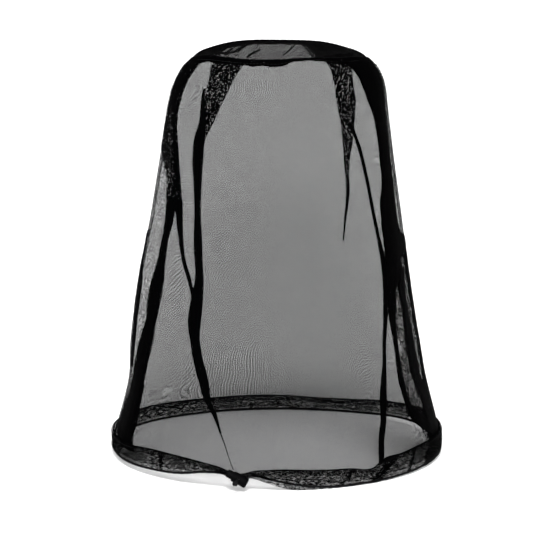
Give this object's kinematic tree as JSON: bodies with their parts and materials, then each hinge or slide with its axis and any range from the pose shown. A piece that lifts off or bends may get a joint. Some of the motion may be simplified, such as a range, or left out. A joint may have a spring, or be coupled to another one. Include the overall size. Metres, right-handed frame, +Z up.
{
  "type": "beekeeping veil",
  "caption": "Tapered veil of fine black net hanging from a round crown panel, with pleats under the rim, a casing hem, a drawcord and a spring cord lock.",
  "frame": {"origin": "the middle of the crown panel's underside, where the panel rests on the hat's crown", "axes": "+Z up; -Y towards the wearer's front; +X to the right seen from the front"},
  "size_m": [0.3464, 0.3642, 0.4274],
  "materials": {
    "net": "matte",
    "pleated_net": "matte",
    "binding": "matte",
    "thread": "satin",
    "cord": "satin",
    "black_plastic": "satin",
    "plunger_plastic": "satin",
    "spring_steel": "polished"
  },
  "bodies": {
    "crown": {"crown_panel": "net", "crown_binding": "binding", "crown_top_stitching": "thread", "crown_under_stitching": "thread", "front_net_panel": "net", "back_net_panel": "net", "left_side_seam": "pleated_net", "right_side_seam": "pleated_net", "left_seam_stitching": "thread", "right_seam_stitching": "thread", "front_left_pleat": "pleated_net", "front_right_pleat": "pleated_net", "left_side_pleat": "pleated_net", "right_side_pleat": "pleated_net"},
    "hem": {"hem_casing": "binding", "hem_casing_overlap": "binding", "hem_top_stitching": "thread", "hem_bottom_stitching": "thread", "overlap_stitching": "thread", "buttonhole_stitching": "thread", "drawcord": "cord", "left_cord_tail": "cord", "right_cord_tail": "cord", "tail_knot": "cord"},
    "cord_lock": {"cord_lock_barrel": "black_plastic", "cord_lock_spring": "spring_steel"},
    "plunger": {"cord_lock_plunger": "plunger_plastic"}
  },
  "joints": [
    {"name": "veil_lift", "type": "slide", "parent": "crown", "child": "hem", "axis": [0, 0, 1], "range_m": [0, 0.24], "deforming": ["front_net_panel", "back_net_panel", "left_side_seam", "right_side_seam", "left_seam_stitching", "right_seam_stitching", "front_left_pleat", "front_right_pleat", "left_side_pleat", "right_side_pleat"]},
    {"name": "lock_slide", "type": "slide", "parent": "hem", "child": "cord_lock", "axis": [-0.2295, -0.9633, -0.1392], "range_m": [0, 0.004]},
    {"name": "plunger_press", "type": "slide", "parent": "cord_lock", "child": "plunger", "axis": [0.8741, -0.1411, -0.4649], "range_m": [0, 0.003], "stiffness_N_per_m": 500, "springref_m": -0.002, "deforming": ["cord_lock_spring"]}
  ]
}
